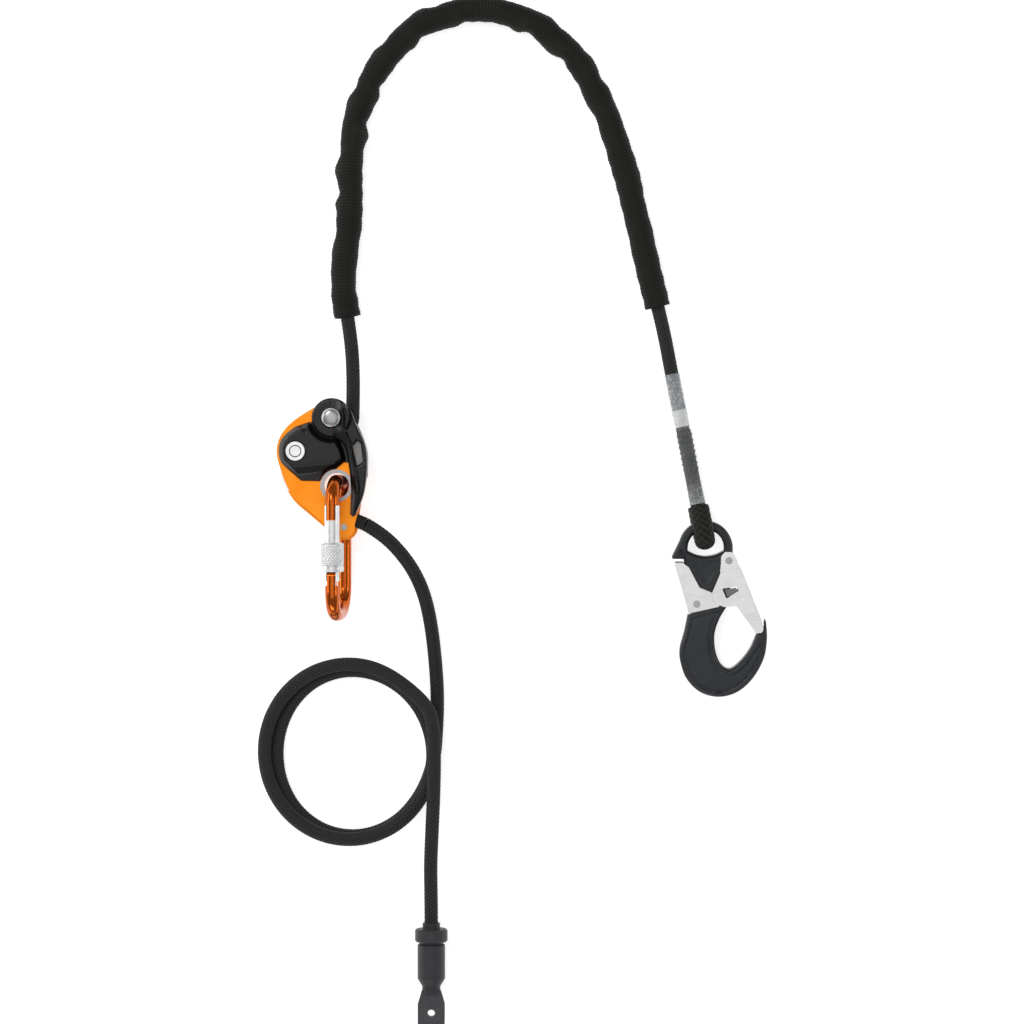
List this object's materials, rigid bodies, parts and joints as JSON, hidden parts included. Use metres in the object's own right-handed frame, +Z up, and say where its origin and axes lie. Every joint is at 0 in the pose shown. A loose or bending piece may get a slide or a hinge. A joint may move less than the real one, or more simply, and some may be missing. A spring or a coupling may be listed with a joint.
{
  "type": "rope grab lanyard",
  "caption": "Work-positioning rope with a lever-released cam grab and screw-gate carabiner at one end and a double-action snap hook on a spliced eye at the other.",
  "frame": {"origin": "on the floor under the middle of the box round the rope grab, carabiner and hook", "axes": "+X from the rope grab to the snap hook, +Y along the rope's arch, +Z up from the floor"},
  "size_m": [0.3869, 0.778, 0.0614],
  "materials": {
    "orange_anodised": "satin orange anodised",
    "copper_anodised": "glossy copper-orange anodised",
    "black_moulding": "fine matt texture",
    "polished_steel": "polished, fine turning marks",
    "plain_steel": "plain drawn steel",
    "satin_aluminium": "satin, natural",
    "grey_forging": "dark grey hard anodised, matt",
    "sheet_steel": "bright satin stainless",
    "black_rope": "tight woven braid",
    "black_webbing": "ribbed tubular weave",
    "clear_shrink": "clear shrink plastic",
    "white_label": "smooth film",
    "pale_thread": "twisted thread",
    "grey_moulding": "fine matt moulding"
  },
  "bodies": {
    "lanyard": {"front_side_plate": "orange_anodised", "rear_side_plate": "orange_anodised", "eye_bush": "polished_steel", "rope_bollard": "plain_steel", "axle_spacer": "plain_steel", "lever_axle": "polished_steel", "cam_axle": "polished_steel", "tail_rivet": "polished_steel", "tail_spacer": "plain_steel", "front_cover": "black_moulding", "cam_spring": "plain_steel", "lever_spring": "plain_steel", "rope_upper": "black_rope", "rope_in_grab": "black_rope", "rope_lower": "black_rope", "rope_loop_coil": "black_rope", "rope_tail": "black_rope", "rope_end_core": "black_rope", "webbing_protector": "black_webbing", "sheath_neck": "clear_shrink", "clear_sheath": "clear_shrink", "id_label": "white_label", "splice_stitching": "pale_thread", "loop_guard": "black_webbing", "end_stop": "grey_moulding"},
    "release_lever": {"release_lever": "black_moulding", "lever_wear_plate": "polished_steel"},
    "cam": {"cam": "polished_steel"},
    "carabiner": {"carabiner_body": "copper_anodised"},
    "carabiner_gate": {"carabiner_gate": "satin_aluminium", "gate_cross_pin": "plain_steel", "gate_pivot_pin": "plain_steel", "gate_plunger": "plain_steel", "gate_spring": "plain_steel"},
    "screw_sleeve": {"screw_sleeve": "satin_aluminium"},
    "hook": {"hook_body": "grey_forging", "hook_gate_rivet": "plain_steel", "hook_lever_rivet": "plain_steel", "hook_gate_spring": "plain_steel", "hook_lever_spring": "plain_steel"},
    "hook_gate": {"hook_gate": "sheet_steel"},
    "hook_lock_lever": {"hook_lock_lever": "sheet_steel"}
  },
  "joints": [
    {"name": "lever_release", "type": "hinge", "parent": "lanyard", "child": "release_lever", "pos_m": [-0.1434, 0.0972, 0.03], "axis": [0, 0, 1], "range_deg": [0, 50], "stiffness_Nm_per_rad": 0.3, "springref_deg": -11.46},
    {"name": "cam_turn", "type": "hinge", "parent": "lanyard", "child": "cam", "pos_m": [-0.1703, 0.0722, 0.02], "axis": [0, 0, 1], "range_deg": [-10, 0]},
    {"name": "carabiner_swing", "type": "hinge", "parent": "lanyard", "child": "carabiner", "pos_m": [-0.1398, 0.0464, 0.02], "axis": [0, 0, 1], "range_deg": [-45, 30]},
    {"name": "carabiner_gate_open", "type": "hinge", "parent": "carabiner", "child": "carabiner_gate", "pos_m": [-0.14182, -0.0211, 0.05266], "axis": [0.9898, 0, 0.1426], "range_deg": [-18, 0], "stiffness_Nm_per_rad": 0.2, "springref_deg": 17.19},
    {"name": "sleeve_screw", "type": "slide", "parent": "carabiner_gate", "child": "screw_sleeve", "axis": [0, 1, 0], "range_m": [0, 0.02]},
    {"name": "hook_swing", "type": "hinge", "parent": "lanyard", "child": "hook", "pos_m": [0.1382, -0.0004, 0.0158], "axis": [0, -0.0976, 0.9952], "range_deg": [-25, 25]},
    {"name": "hook_gate_open", "type": "hinge", "parent": "hook", "child": "hook_gate", "pos_m": [0.1555, -0.00956, 0.0149], "axis": [0, -0.0976, 0.9952], "range_deg": [-28, 0], "stiffness_Nm_per_rad": 0.2, "springref_deg": 17.19},
    {"name": "hook_lock_press", "type": "hinge", "parent": "hook", "child": "hook_lock_lever", "pos_m": [0.1315, -0.0423, 0.01169], "axis": [0, -0.0976, 0.9952], "range_deg": [-9, 0], "stiffness_Nm_per_rad": 0.2, "springref_deg": 17.19}
  ],
  "couplings": [
    {"joint": "cam_turn", "follows": "lever_release", "ratio": -0.2}
  ]
}
